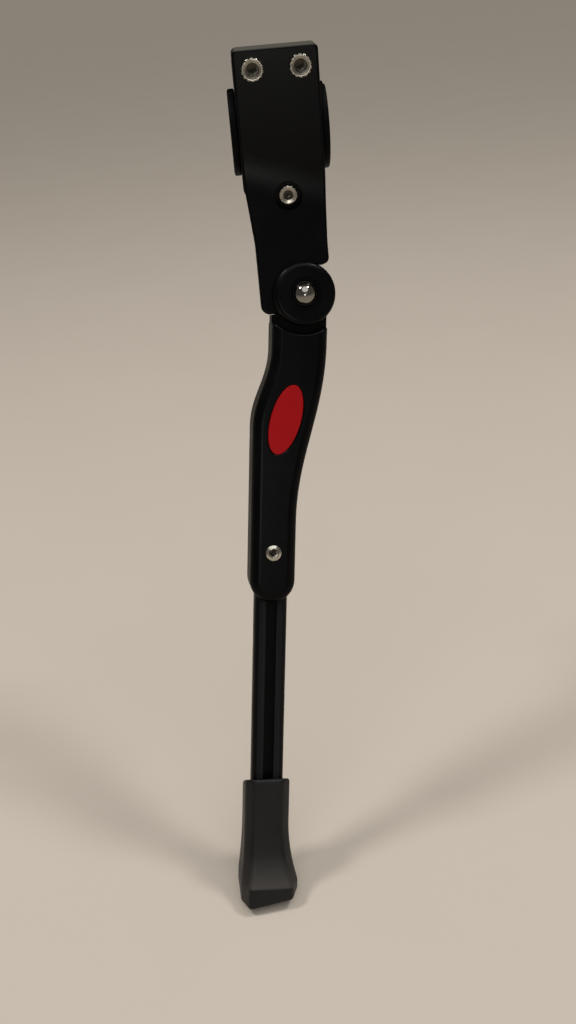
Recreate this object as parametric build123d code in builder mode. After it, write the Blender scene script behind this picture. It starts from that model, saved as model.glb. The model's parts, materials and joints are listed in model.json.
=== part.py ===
"""An adjustable bicycle kickstand that clamps to the left chainstay, with its leg down.

The stay's axis is X, +X points to the rear wheel, -Y points away from the bicycle and +Z is up.
The origin is the middle of the clamp. Lengths are millimetres and angles are degrees.
"""

import os
from math import cos, radians, sin, tan

from build123d import *

# Clearances
PAD_CLEARANCE = 0.05  # rubber pad in its jaw
BOLT_CLEARANCE = 0.25  # bolt shank in a plain hole
THREAD_CLEARANCE = 0.05  # bolt in its nut, and the lock screw in its hole
NUT_CLEARANCE = 0.1  # nut in its pocket
PIN_CLEARANCE = 0.05  # pivot pin in the cheeks and the tongue
THRUST_CLEARANCE = 0.05  # beside each thrust washer
STOP_CLEARANCE = 0.3  # tongue to the faces that stop it, and plunger to the tongue
PLUNGER_CLEARANCE = 0.06  # plunger and spring in their bore
SLIDE_CLEARANCE = 0.1  # lower leg in the upper leg
BADGE_CLEARANCE = 0.1  # badge in its recess
FOOT_CLEARANCE = 0.05  # lower leg in the rubber foot

# Clamp
STAY_RADIUS = 11.0
PAD_THICKNESS = 3.0
PAD_LENGTH = 38.6  # along the stay
PAD_LIP = 2.8  # how far the pad's end lips stand up from its back
PAD_EDGE_RADIUS = 0.8
PAD_PROUD = 0.5  # the pad's edges past its jaw's split face
SPLIT_GAP = 10.0  # between the jaws
JAW_WIDTH = 32.6
JAW_WALL = 5.0  # bracket wall behind the pad
JAW_TOP = 31.6  # bracket's top over the stay's axis
JAW_CORNER_RADIUS = 2.0
CAST_EDGE_RADIUS = 1.0
REAR_WALL = 5.0  # rear jaw wall behind the pad
REAR_FLANGE = 8.0  # rear jaw thickness at the bolts
REAR_TOP = 30.0
REAR_BOTTOM = 28.2
REAR_CORNER_RADIUS = 5.0
REAR_ROOT_RADIUS = 3.0

# Clamp bolts and nuts
BOLT_RADIUS = 2.5
BOLT_LENGTH = 45.0
BOLT_HEAD_RADIUS = 4.25
BOLT_HEAD_HEIGHT = 5.0
BOLT_SOCKET_FLATS = 4.0
BOLT_SPACING = 18.0
BOLT_HEIGHT = 24.8  # over the stay's axis
NUT_FLATS = 8.0
NUT_THICKNESS = 4.0
NUT_CHAMFER = 0.7
LOWER_BOLT_RADIUS = 2.0
LOWER_BOLT_LENGTH = 40.0
LOWER_HEAD_RADIUS = 3.8
LOWER_HEAD_HEIGHT = 3.2
LOWER_SOCKET_FLATS = 3.0
LOWER_BOLT_DROP = 22.5  # below the stay's axis
LOWER_BOLT_BACK = 1.0  # behind the bracket's middle
LOWER_SEAT_WALL = 11.0  # bracket under the lower bolt's head
LOWER_NUT_FLATS = 7.0
LOWER_NUT_THICKNESS = 3.2
COUNTERBORE_RADIUS = 5.5
NUT_POCKET_DEPTH = 2.5
SOCKET_DEPTH_SHARE = 0.5  # socket depth by the head's height
HEAD_CHAMFER = 0.5
TIP_CHAMFER = 0.6

# Knuckle and pivot
SPLAY = 17.0  # leg out of the vertical, away from the bicycle
TOE = 6.0  # pivot turned towards the rear wheel, so that the folded leg runs along the bicycle
LEAN = 8.5  # leg forward of the bracket's own axis, with the leg down
PIVOT_OUT = 24.5  # outboard of the stay's axis
PIVOT_DROP = 61.2  # below the stay's axis
PIVOT_BACK = 2.7  # behind the bracket's middle
KNUCKLE_FRONT = 16.6  # arm's edge forward of the pivot
KNUCKLE_BACK = 12.4  # arm's edge behind the pivot
ARM_SHOULDER = 15.7  # below the stay's axis, where the arm starts to taper
ARM_WAIST = 40.7  # below the stay's axis, where the taper ends
ARM_BLEND_RADIUS = 60.0
FRONT_CHEEK = 7.0  # leg's middle plane to the front cheek's face
REAR_CHEEK = 8.5  # leg's middle plane to the rear cheek's face
BEND_RADIUS = 50.0
WEB_DROP = 6.5  # closed front web below the pivot
WEB_CORNER_RADIUS = 3.5
NOTCH_CORNER_RADIUS = 2.5
BOSS_RADIUS = 12.6
BOSS_FACE = 12.0  # leg's middle plane to the boss's face
BOSS_EDGE_RADIUS = 2.0
BOSS_RECESS_RADIUS = 6.6
BOSS_RECESS_DEPTH = 0.8
TONGUE_RADIUS = 10.4
TONGUE_THICKNESS = 7.0
THRUST_RADIUS = 9.0
THRUST_THICKNESS = 0.5
PIN_RADIUS = 4.0
PIN_FLANGE_RADIUS = 5.2
PIN_FLANGE_THICKNESS = 0.7
PIN_DOME_RADIUS = 4.6
PIN_DOME_HEIGHT = 3.4
PIVOT_WASHER_RADIUS = 8.0
PIVOT_WASHER_THICKNESS = 1.2
PIN_TAIL_RADIUS = 5.2
PIN_TAIL_HEIGHT = 2.0

# Detent
PLUNGER_RADIUS = 3.0
PLUNGER_LENGTH = 9.0
PLUNGER_TRAVEL = 0.8
SPRING_LENGTH = 11.0
SPRING_WIRE_RADIUS = 0.45
SPRING_TURNS = 5

# Upper leg
LEG_DEPTH = 19.0
NECK_FRONT = 12.2  # forward of the pivot
NECK_BACK = 10.4  # behind the pivot
NECK_ARC_RADIUS = 16.0  # round the boss
NECK_EDGE_RADIUS = 0.8
LEG_EDGE_RADIUS = 4.0
FRONT_BEND_START = 22.0  # down the leg from the pivot, as are the lengths below
FRONT_BEND_END = 55.0
BACK_BEND_START = 20.0
BACK_BEND_END = 93.0
SOCKET_OFFSET = 9.9  # lower leg's axis forward of the pivot
SOCKET_WIDTH = 19.0
SOCKET_END = 128.2
BORE_TOP = 60.0
BADGE_DROP = 50.6
BADGE_FORWARD = 6.2
BADGE_TILT = 14.5
BADGE_LENGTH = 29.4
BADGE_WIDTH = 12.6
BADGE_RECESS = 0.9
BADGE_THICKNESS = 0.7
BADGE_EDGE_RADIUS = 0.3
BADGE_RECESS_RADIUS = 0.5  # rounding of the recess's edge
LOCK_DROP = 106.4
LOCK_RADIUS = 3.6
LOCK_TIP_RADIUS = 2.1
LOCK_TIP_LENGTH = 2.2
LOCK_PROUD = 0.4
LOCK_SOCKET_FLATS = 4.0
LOCK_SOCKET_DEPTH = 2.5

# Lower leg
TUBE_WIDTH = 14.0
TUBE_DEPTH = 11.0
TUBE_CORNER_RADIUS = 4.0
TUBE_WALL = 2.1
TUBE_TOP = 84.0
TUBE_END = 243.0
GROOVE_WIDTH = 4.6
GROOVE_DEPTH = 2.0

# Foot
FOOT_RIM = 207.0
FOOT_RIM_SLOPE = 25.0
FOOT_WALL = 2.9
FOOT_COLLAR_CUT = 3.6  # front corners cut off the collar, beside a flat panel
FOOT_COLLAR_ROUND = 2.6
FOOT_WAIST = 230.0  # where the flare starts
FOOT_FLARE_MIDDLE = 243.0
FOOT_FLARE_SHARE = 0.27  # how much of the flare is done at its middle
FOOT_CREASE = 256.0
FOOT_FLARE_FRONT = 6.0  # how far the crease stands out past the collar, on each side
FOOT_FLARE_BACK = 1.6
FOOT_FLARE_TOE = 1.1
FOOT_FLARE_HEEL = 4.3
FOOT_CREASE_CUT = 3.1  # front corners at the crease, across and from front to back
FOOT_CREASE_CUT_DEPTH = 7.5
FOOT_CREASE_ROUND = 2.0
FOOT_EDGE_RADIUS = 1.0
SOLE_DROP = 262.5
SOLE_TILT = 12.0  # up towards the rear wheel
SOLE_LEAN = 8.0  # down away from the bicycle

# Derived sizes
split_face = SPLIT_GAP / 2
pad_back = STAY_RADIUS + PAD_THICKNESS
recess_radius = pad_back + PAD_CLEARANCE
bracket_front = recess_radius + JAW_WALL
slot_half = TONGUE_THICKNESS / 2 + THRUST_THICKNESS + 2 * THRUST_CLEARANCE
stop_radius = TONGUE_RADIUS + STOP_CLEARANCE
plunger_tip = TONGUE_RADIUS + STOP_CLEARANCE
plunger_back = plunger_tip + PLUNGER_LENGTH
spring_end = plunger_back + SPRING_LENGTH
spring_radius = PLUNGER_RADIUS - SPRING_WIRE_RADIUS - PLUNGER_CLEARANCE
leg_front = LEG_DEPTH / 2
span = JAW_TOP + PIVOT_DROP + FOOT_CREASE  # longer than any cut needs

# Frames: CANT lies in the leg's middle plane, with x to the rear and y up the bracket. LEG is CANT
# turned to the leg that is down. TUBE runs down the lower leg's axis, with x to the rear, y to the front.
splay = radians(SPLAY)
toe = radians(TOE)
fold = 90 + LEAN  # swing from leg down to leg folded
pivot = Vector(PIVOT_BACK, -PIVOT_OUT, -PIVOT_DROP)
rear_way = Vector(cos(toe), sin(toe), 0)
pivot_axis = Vector(sin(toe) * cos(splay), -cos(toe) * cos(splay), sin(splay))
CANT = Plane(origin=pivot, x_dir=rear_way, z_dir=pivot_axis)
bracket_up = CANT.y_dir
leg_back = rear_way * cos(radians(LEAN)) - bracket_up * sin(radians(LEAN))
LEG = Plane(origin=pivot, x_dir=leg_back, z_dir=pivot_axis)
TUBE = Plane(origin=LEG.from_local_coords(Vector(-SOCKET_OFFSET, 0, 0)), x_dir=leg_back, z_dir=-LEG.y_dir)
PIN_SECTION = Plane(origin=pivot, x_dir=rear_way, z_dir=-bracket_up)
PIN_AXIS = Axis(pivot, pivot_axis)
PLUNGER = Plane(origin=pivot, x_dir=rear_way, z_dir=bracket_up)
FRONT = Plane.XZ


# Bracket: the front jaw, the arm below it and the slotted knuckle, in one casting
lower_seat = split_face + LOWER_SEAT_WALL
arm_front = PIVOT_BACK - KNUCKLE_FRONT
arm_back = PIVOT_BACK + KNUCKLE_BACK
web_corner = CANT.from_local_coords(Vector(-KNUCKLE_FRONT, -WEB_DROP, 0))
notch_corner = CANT.from_local_coords(Vector(KNUCKLE_BACK, stop_radius, 0))

with BuildPart() as bracket:
    with BuildSketch(FRONT.offset(split_face)) as front_view:
        with BuildLine():
            Polyline(
                (-JAW_WIDTH / 2, JAW_TOP),
                (-JAW_WIDTH / 2, -ARM_SHOULDER),
                (arm_front, -ARM_WAIST),
                (arm_front, -span),
                (arm_back, -span),
                (arm_back, -ARM_WAIST),
                (JAW_WIDTH / 2, -ARM_SHOULDER),
                (JAW_WIDTH / 2, JAW_TOP),
                close=True,
            )
        make_face()
        _, waist_spots, shoulder_spots, _ = front_view.vertices().group_by(Axis.Y)
        fillet(waist_spots + shoulder_spots, radius=ARM_BLEND_RADIUS)
        fillet(front_view.vertices().group_by(Axis.Y)[-1], radius=JAW_CORNER_RADIUS)
    extrude(amount=span)
    split(bisect_by=CANT.offset(-REAR_CHEEK), keep=Keep.TOP)
    # The jaw's flat front and the knuckle's turned one meet in a wide bend.
    with BuildPart(mode=Mode.SUBTRACT) as outside:
        with BuildSketch(FRONT.offset(bracket_front)):
            Rectangle(2 * span, 2 * span)
        extrude(amount=span)
        split(bisect_by=CANT.offset(FRONT_CHEEK), keep=Keep.TOP)
        jaw_front = outside.faces().filter_by(FRONT).sort_by(Axis.Y)[-1]
        arm_face = outside.faces().filter_by(CANT)[0]
        fillet(jaw_front.edges() & arm_face.edges(), radius=BEND_RADIUS)
    # Below the web and behind the pivot only the cheeks are left, so that the leg can swing there.
    with BuildSketch(CANT):
        with Locations((0, stop_radius)):
            Rectangle(span, span, align=(Align.MIN, Align.MAX))
        with Locations((0, -WEB_DROP)):
            Rectangle(2 * span, span, align=(Align.CENTER, Align.MAX))
    extrude(amount=2 * span, both=True, mode=Mode.SUBTRACT)
    fillet(bracket.edges().sort_by_distance(web_corner)[0], radius=WEB_CORNER_RADIUS)
    fillet(bracket.edges().sort_by_distance(notch_corner)[0], radius=NOTCH_CORNER_RADIUS)
    front_faces = bracket.faces().filter_by(lambda face: face.normal_at().Y < -cos(2 * splay))
    seams = front_faces.edges()
    rim = seams.filter_by(lambda edge: sum(edge.is_same(twin) for twin in seams) == 1)
    fillet(rim, radius=CAST_EDGE_RADIUS)
    with BuildSketch(CANT):
        Circle(BOSS_RADIUS)
    extrude(amount=BOSS_FACE)
    with BuildSketch(CANT):
        Circle(BOSS_RADIUS)
    extrude(amount=-REAR_CHEEK)
    boss_face = bracket.faces().sort_by_distance(CANT.offset(BOSS_FACE).origin)[0]
    fillet(boss_face.edges(), radius=BOSS_EDGE_RADIUS)
    with BuildSketch(CANT.offset(BOSS_FACE)):
        Circle(BOSS_RECESS_RADIUS)
    extrude(amount=-BOSS_RECESS_DEPTH, mode=Mode.SUBTRACT)
    # The slot is as wide as the tongue needs between its two stops.
    with BuildSketch(CANT):
        Circle(stop_radius)
        with Locations((0, stop_radius)):
            Rectangle(span, span, align=(Align.MIN, Align.MAX))
    extrude(amount=slot_half, both=True, mode=Mode.SUBTRACT)
    with BuildSketch(LEG):
        with Locations((-stop_radius, 0)):
            Rectangle(span, span, align=(Align.MIN, Align.MAX))
    extrude(amount=slot_half, both=True, mode=Mode.SUBTRACT)
    with BuildSketch(CANT):
        Circle(PIN_RADIUS + PIN_CLEARANCE)
    extrude(amount=span, both=True, mode=Mode.SUBTRACT)
    with BuildSketch(PLUNGER):
        Circle(PLUNGER_RADIUS + PLUNGER_CLEARANCE)
    extrude(amount=spring_end + PLUNGER_CLEARANCE, mode=Mode.SUBTRACT)
    with BuildSketch(Plane.YZ):
        Circle(recess_radius)
    extrude(amount=JAW_WIDTH, both=True, mode=Mode.SUBTRACT)
    with BuildSketch(FRONT):
        with Locations((-BOLT_SPACING / 2, BOLT_HEIGHT), (BOLT_SPACING / 2, BOLT_HEIGHT)):
            Circle(BOLT_RADIUS + BOLT_CLEARANCE)
        with Locations((LOWER_BOLT_BACK, -LOWER_BOLT_DROP)):
            Circle(LOWER_BOLT_RADIUS + BOLT_CLEARANCE)
    extrude(amount=span, mode=Mode.SUBTRACT)
    with BuildSketch(FRONT.offset(lower_seat)):
        with Locations((LOWER_BOLT_BACK, -LOWER_BOLT_DROP)):
            Circle(COUNTERBORE_RADIUS)
    extrude(amount=span, mode=Mode.SUBTRACT)
bracket.part.label = "bracket"

# Rear jaw: two flanges for the bolts and a bow over the stay between them
flange_back = split_face + REAR_FLANGE
bow_radius = recess_radius + REAR_WALL

with BuildPart() as rear_jaw:
    with BuildSketch(Plane.YZ) as rear_view:
        with Locations((split_face, -REAR_BOTTOM)):
            Rectangle(REAR_FLANGE, REAR_BOTTOM + REAR_TOP, align=(Align.MIN, Align.MIN))
        Circle(bow_radius)
        with Locations((split_face, 0)):
            Rectangle(span, span, align=(Align.MAX, Align.CENTER), mode=Mode.SUBTRACT)
        roots = rear_view.vertices().filter_by(lambda spot: abs(spot.Y) < REAR_TOP - REAR_FLANGE)
        fillet(roots.filter_by(lambda spot: spot.X > flange_back - PAD_CLEARANCE), radius=REAR_ROOT_RADIUS)
    extrude(amount=JAW_WIDTH / 2, both=True)
    with BuildSketch(FRONT):
        with Locations((0, (REAR_TOP - REAR_BOTTOM) / 2)):
            RectangleRounded(JAW_WIDTH, REAR_TOP + REAR_BOTTOM, REAR_CORNER_RADIUS)
    extrude(amount=span, both=True, mode=Mode.INTERSECT)
    back_edges = rear_jaw.faces().filter_by(lambda face: face.normal_at().Y > 1 - PAD_CLEARANCE).edges()
    fillet(back_edges.filter_by(lambda edge: edge.center().Y < flange_back + PAD_CLEARANCE and
                                abs(edge.center().Z) > REAR_TOP - REAR_FLANGE), radius=CAST_EDGE_RADIUS)
    with BuildSketch(Plane.YZ):
        Circle(recess_radius)
    extrude(amount=JAW_WIDTH, both=True, mode=Mode.SUBTRACT)
    with BuildSketch(FRONT):
        with Locations((-BOLT_SPACING / 2, BOLT_HEIGHT), (BOLT_SPACING / 2, BOLT_HEIGHT)):
            Circle(BOLT_RADIUS + BOLT_CLEARANCE)
        with Locations((LOWER_BOLT_BACK, -LOWER_BOLT_DROP)):
            Circle(LOWER_BOLT_RADIUS + BOLT_CLEARANCE)
    extrude(amount=-span, mode=Mode.SUBTRACT)
    with BuildSketch(FRONT.offset(-flange_back + NUT_POCKET_DEPTH)):
        with Locations((-BOLT_SPACING / 2, BOLT_HEIGHT), (BOLT_SPACING / 2, BOLT_HEIGHT)):
            RegularPolygon(NUT_FLATS / 2 + NUT_CLEARANCE, 6, major_radius=False)
        with Locations((LOWER_BOLT_BACK, -LOWER_BOLT_DROP)):
            RegularPolygon(LOWER_NUT_FLATS / 2 + NUT_CLEARANCE, 6, major_radius=False)
    extrude(amount=-span, mode=Mode.SUBTRACT)
rear_jaw.part.label = "rear_jaw"


def clamp_pad(cut, side):
    """Make a rubber half ring for the stay, with lips that hook over the jaw's two ends."""
    with BuildPart() as pad:
        with BuildSketch(Plane.YZ):
            Circle(pad_back + PAD_LIP)
        extrude(amount=PAD_LENGTH / 2, both=True)
        fillet(pad.edges().filter_by(GeomType.CIRCLE), radius=PAD_EDGE_RADIUS)
        with BuildSketch(Plane.YZ):
            Circle(pad_back + 2 * PAD_LIP)
            Circle(pad_back, mode=Mode.SUBTRACT)
        extrude(amount=JAW_WIDTH / 2 + PAD_CLEARANCE, both=True, mode=Mode.SUBTRACT)
        with BuildSketch(Plane.YZ):
            Circle(STAY_RADIUS)
        extrude(amount=PAD_LENGTH, both=True, mode=Mode.SUBTRACT)
        split(bisect_by=cut, keep=side)
    return pad


pad_edge = split_face - PAD_PROUD
front_pad = clamp_pad(FRONT.offset(pad_edge), Keep.TOP)
rear_pad = clamp_pad(FRONT.offset(-pad_edge), Keep.BOTTOM)
front_pad.part.label = "front_pad"
rear_pad.part.label = "rear_pad"


def socket_bolt(seat, radius, length, head_radius, head_height, socket_flats):
    """Make a socket cap screw whose head stands on the seat plane and whose shank runs below it."""
    with BuildPart() as bolt:
        with BuildSketch(seat):
            Circle(head_radius)
        extrude(amount=head_height)
        chamfer(bolt.faces().sort_by(Axis(seat.origin, seat.z_dir))[-1].edges(), length=HEAD_CHAMFER)
        with BuildSketch(seat):
            Circle(radius)
        extrude(amount=-length)
        chamfer(bolt.faces().sort_by(Axis(seat.origin, seat.z_dir))[0].edges(), length=TIP_CHAMFER)
        with BuildSketch(seat.offset(head_height)):
            RegularPolygon(socket_flats / 2, 6, major_radius=False)
        extrude(amount=-head_height * SOCKET_DEPTH_SHARE, mode=Mode.SUBTRACT)
    return bolt


def hex_nut(seat, flats, thickness, thread_radius):
    """Make a hex nut that stands on the seat plane, with its outer corners turned off."""
    with BuildPart() as nut:
        with BuildSketch(seat):
            Circle(flats / 2 + NUT_CHAMFER)
        extrude(amount=thickness)
        chamfer(nut.faces().sort_by(Axis(seat.origin, seat.z_dir))[-1].edges(), length=NUT_CHAMFER)
        with BuildSketch(seat):
            RegularPolygon(flats / 2, 6, major_radius=False)
            Circle(thread_radius + THREAD_CLEARANCE, mode=Mode.SUBTRACT)
        extrude(amount=thickness, mode=Mode.INTERSECT)
    return nut


def at_front(x, y, z):
    """Give the plane that faces away from the bicycle at a point."""
    return Plane(origin=(x, y, z), x_dir=(1, 0, 0), z_dir=(0, -1, 0))


def at_back(x, y, z):
    """Give the plane that faces the wheel at a point."""
    return Plane(origin=(x, y, z), x_dir=(1, 0, 0), z_dir=(0, 1, 0))


nut_seat = flange_back - NUT_POCKET_DEPTH
clamp_bolts = {}
clamp_nuts = {}
for place, x in (("front", -BOLT_SPACING / 2), ("rear", BOLT_SPACING / 2)):
    clamp_bolts[place] = socket_bolt(
        at_front(x, -bracket_front, BOLT_HEIGHT),
        BOLT_RADIUS, BOLT_LENGTH, BOLT_HEAD_RADIUS, BOLT_HEAD_HEIGHT, BOLT_SOCKET_FLATS,
    )
    clamp_bolts[place].part.label = "clamp_bolt_" + place
    clamp_nuts[place] = hex_nut(at_back(x, nut_seat, BOLT_HEIGHT), NUT_FLATS, NUT_THICKNESS, BOLT_RADIUS)
    clamp_nuts[place].part.label = "clamp_nut_" + place
lower_bolt = socket_bolt(
    at_front(LOWER_BOLT_BACK, -lower_seat, -LOWER_BOLT_DROP),
    LOWER_BOLT_RADIUS, LOWER_BOLT_LENGTH, LOWER_HEAD_RADIUS, LOWER_HEAD_HEIGHT, LOWER_SOCKET_FLATS,
)
lower_bolt.part.label = "lower_bolt"
lower_nut = hex_nut(
    at_back(LOWER_BOLT_BACK, nut_seat, -LOWER_BOLT_DROP),
    LOWER_NUT_FLATS, LOWER_NUT_THICKNESS, LOWER_BOLT_RADIUS,
)
lower_nut.part.label = "lower_nut"

# Pivot pin: a domed head in the boss's recess, a shank through both cheeks and a riveted tail
flange_seat = BOSS_FACE - BOSS_RECESS_DEPTH
dome_base = flange_seat + PIN_FLANGE_THICKNESS
tail_seat = -REAR_CHEEK - PIVOT_WASHER_THICKNESS

with BuildPart() as pivot_pin:
    with BuildSketch(PIN_SECTION):
        with BuildLine():
            Polyline(
                (0, dome_base + PIN_DOME_HEIGHT),
                (0, tail_seat - PIN_TAIL_HEIGHT),
                (PIN_RADIUS, tail_seat - PIN_TAIL_HEIGHT),
                (PIN_TAIL_RADIUS, tail_seat),
                (PIN_RADIUS, tail_seat),
                (PIN_RADIUS, flange_seat),
                (PIN_FLANGE_RADIUS, flange_seat),
                (PIN_FLANGE_RADIUS, dome_base),
                (PIN_DOME_RADIUS, dome_base),
            )
            TangentArc((0, dome_base + PIN_DOME_HEIGHT), (PIN_DOME_RADIUS, dome_base), tangent=(1, 0))
        make_face()
    revolve(axis=PIN_AXIS)
pivot_pin.part.label = "pivot_pin"

with BuildPart() as pivot_washer:
    with BuildSketch(CANT.offset(-REAR_CHEEK)):
        Circle(PIVOT_WASHER_RADIUS)
        Circle(PIN_RADIUS + PIN_CLEARANCE, mode=Mode.SUBTRACT)
    extrude(amount=-PIVOT_WASHER_THICKNESS)
pivot_washer.part.label = "pivot_washer"


def thrust_washer(face):
    """Make a thin plastic washer that stands on a plane beside the tongue."""
    with BuildPart() as washer:
        with BuildSketch(face):
            Circle(THRUST_RADIUS)
            Circle(PIN_RADIUS + PIN_CLEARANCE, mode=Mode.SUBTRACT)
        extrude(amount=THRUST_THICKNESS)
    return washer


thrust_seat = TONGUE_THICKNESS / 2 + THRUST_CLEARANCE
thrust_washer_front = thrust_washer(CANT.offset(thrust_seat))
thrust_washer_rear = thrust_washer(CANT.offset(-thrust_seat - THRUST_THICKNESS))
thrust_washer_front.part.label = "thrust_washer_front"
thrust_washer_rear.part.label = "thrust_washer_rear"

# Detent: a round-nosed plunger and its coil spring, in a bore above the tongue
with BuildPart() as detent_plunger:
    with BuildSketch(PLUNGER.offset(plunger_tip)):
        Circle(PLUNGER_RADIUS)
    extrude(amount=PLUNGER_LENGTH)
    nose = detent_plunger.edges().sort_by(Axis(pivot, bracket_up))[0]
    fillet(nose, radius=PLUNGER_RADIUS - PLUNGER_CLEARANCE)
detent_plunger.part.label = "detent_plunger"

coil_height = SPRING_LENGTH - 2 * SPRING_WIRE_RADIUS - 2 * PLUNGER_CLEARANCE
coil_start = plunger_back + SPRING_WIRE_RADIUS + PLUNGER_CLEARANCE
with BuildPart() as detent_spring:
    with BuildLine() as coil:
        Helix(
            pitch=coil_height / SPRING_TURNS, height=coil_height, radius=spring_radius,
            center=pivot + bracket_up * coil_start, direction=bracket_up,
        )
    with BuildSketch(Plane(origin=coil.line @ 0, z_dir=coil.line % 0)):
        Circle(SPRING_WIRE_RADIUS)
    sweep()
detent_spring.part.label = "detent_spring"

# Upper leg: an S-bent casting with a tongue at the top and a socket for the lower leg
socket_front = -SOCKET_OFFSET - SOCKET_WIDTH / 2
socket_back = -SOCKET_OFFSET + SOCKET_WIDTH / 2
round_drop = SOCKET_END - SOCKET_WIDTH / 2
down = (0, -1)
notch_radius = PLUNGER_RADIUS + STOP_CLEARANCE
notch_distance = plunger_tip + PLUNGER_RADIUS - PLUNGER_TRAVEL
lock_spot = (-SOCKET_OFFSET, -LOCK_DROP)
tongue_root = NECK_ARC_RADIUS + LEG_EDGE_RADIUS
web_gap = (WEB_DROP + STOP_CLEARANCE) / cos(radians(LEAN))  # the pivot to just under the web, down the leg

with BuildPart() as upper_leg:
    with BuildSketch(LEG):
        with BuildLine():
            Line((-NECK_FRONT, 0), (-NECK_FRONT, -FRONT_BEND_START))
            Spline(
                (-NECK_FRONT, -FRONT_BEND_START), (socket_front, -FRONT_BEND_END), tangents=(down, down)
            )
            Line((socket_front, -FRONT_BEND_END), (socket_front, -round_drop))
            CenterArc((-SOCKET_OFFSET, -round_drop), SOCKET_WIDTH / 2, 180, 180)
            Line((socket_back, -round_drop), (socket_back, -BACK_BEND_END))
            Spline(
                (NECK_BACK, -BACK_BEND_START), (socket_back, -BACK_BEND_END), tangents=(down, down)
            )
            Line((NECK_BACK, -BACK_BEND_START), (NECK_BACK, 0))
            Line((NECK_BACK, 0), (-NECK_FRONT, 0))
        make_face()
    extrude(amount=leg_front, both=True)
    fillet(upper_leg.faces().filter_by(LEG).edges(), radius=LEG_EDGE_RADIUS)
    with BuildSketch(LEG):
        Circle(NECK_ARC_RADIUS)
    extrude(amount=LEG_DEPTH, both=True, mode=Mode.SUBTRACT)
    neck_arc = upper_leg.faces().filter_by(GeomType.CYLINDER).sort_by_distance(pivot)[0]
    fillet(neck_arc.edges().filter_by(GeomType.CIRCLE), radius=NECK_EDGE_RADIUS)
    with BuildSketch(LEG):
        Circle(TONGUE_RADIUS)
        Rectangle(2 * TONGUE_RADIUS, tongue_root, align=(Align.CENTER, Align.MAX))
        with BuildLine():
            Polyline(
                (-NECK_FRONT, -tongue_root),
                (-NECK_FRONT, -web_gap - NECK_FRONT * tan(radians(LEAN))),
                (0, -web_gap),
                (0, -tongue_root),
                close=True,
            )
        make_face()
    extrude(amount=TONGUE_THICKNESS / 2, both=True)
    with BuildSketch(CANT):
        Circle(PIN_RADIUS + PIN_CLEARANCE)
        with PolarLocations(notch_distance, 2, start_angle=90 - fold, angular_range=fold, endpoint=True):
            Circle(notch_radius)
    extrude(amount=TONGUE_THICKNESS, both=True, mode=Mode.SUBTRACT)
    with BuildSketch(TUBE.offset(BORE_TOP)):
        RectangleRounded(
            TUBE_WIDTH + 2 * SLIDE_CLEARANCE, TUBE_DEPTH + 2 * SLIDE_CLEARANCE,
            TUBE_CORNER_RADIUS + SLIDE_CLEARANCE,
        )
    extrude(amount=span, mode=Mode.SUBTRACT)
    with BuildSketch(LEG.offset(leg_front)):
        with Locations(Location((-BADGE_FORWARD, -BADGE_DROP), -BADGE_TILT)):
            Ellipse(BADGE_WIDTH / 2 + BADGE_CLEARANCE, BADGE_LENGTH / 2 + BADGE_CLEARANCE)
    extrude(amount=-BADGE_RECESS, mode=Mode.SUBTRACT)
    recess_edges = upper_leg.edges().filter_by(GeomType.ELLIPSE).sort_by(PIN_AXIS)
    fillet(recess_edges[-1], radius=BADGE_RECESS_RADIUS)
    with BuildSketch(LEG):
        with Locations(lock_spot):
            Circle(LOCK_RADIUS + THREAD_CLEARANCE)
    extrude(amount=LEG_DEPTH, mode=Mode.SUBTRACT)
upper_leg.part.label = "upper_leg"

with BuildPart() as oval_badge:
    with BuildSketch(LEG.offset(leg_front - BADGE_RECESS)):
        with Locations(Location((-BADGE_FORWARD, -BADGE_DROP), -BADGE_TILT)):
            Ellipse(BADGE_WIDTH / 2, BADGE_LENGTH / 2)
    extrude(amount=BADGE_THICKNESS)
    fillet(oval_badge.faces().sort_by(PIN_AXIS)[-1].edges(), radius=BADGE_EDGE_RADIUS)
oval_badge.part.label = "oval_badge"

groove_floor = TUBE_DEPTH / 2 - GROOVE_DEPTH
lock_tip = groove_floor + SLIDE_CLEARANCE
lock_face = leg_front + LOCK_PROUD

with BuildPart() as lock_screw:
    with BuildSketch(LEG.offset(lock_tip + LOCK_TIP_LENGTH)):
        with Locations(lock_spot):
            Circle(LOCK_RADIUS)
    extrude(amount=lock_face - lock_tip - LOCK_TIP_LENGTH)
    chamfer(lock_screw.faces().sort_by(PIN_AXIS)[-1].edges(), length=HEAD_CHAMFER)
    with BuildSketch(LEG.offset(lock_tip)):
        with Locations(lock_spot):
            Circle(LOCK_TIP_RADIUS)
    extrude(amount=LOCK_TIP_LENGTH)
    with BuildSketch(LEG.offset(lock_face)):
        with Locations(lock_spot):
            RegularPolygon(LOCK_SOCKET_FLATS / 2, 6, major_radius=False)
    extrude(amount=-LOCK_SOCKET_DEPTH, mode=Mode.SUBTRACT)
lock_screw.part.label = "lock_screw"

# Lower leg: a hollow extrusion with a groove down its front
core_depth = TUBE_DEPTH - GROOVE_DEPTH - 2 * TUBE_WALL
with BuildPart() as lower_leg:
    with BuildSketch(TUBE.offset(TUBE_TOP)):
        RectangleRounded(TUBE_WIDTH, TUBE_DEPTH, TUBE_CORNER_RADIUS)
        with Locations((0, TUBE_DEPTH / 2)):
            Rectangle(GROOVE_WIDTH, 2 * GROOVE_DEPTH, mode=Mode.SUBTRACT)
        with Locations((0, -GROOVE_DEPTH / 2)):
            SlotOverall(TUBE_WIDTH - 2 * TUBE_WALL, core_depth, mode=Mode.SUBTRACT)
    extrude(amount=TUBE_END - TUBE_TOP)
lower_leg.part.label = "lower_leg"

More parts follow.
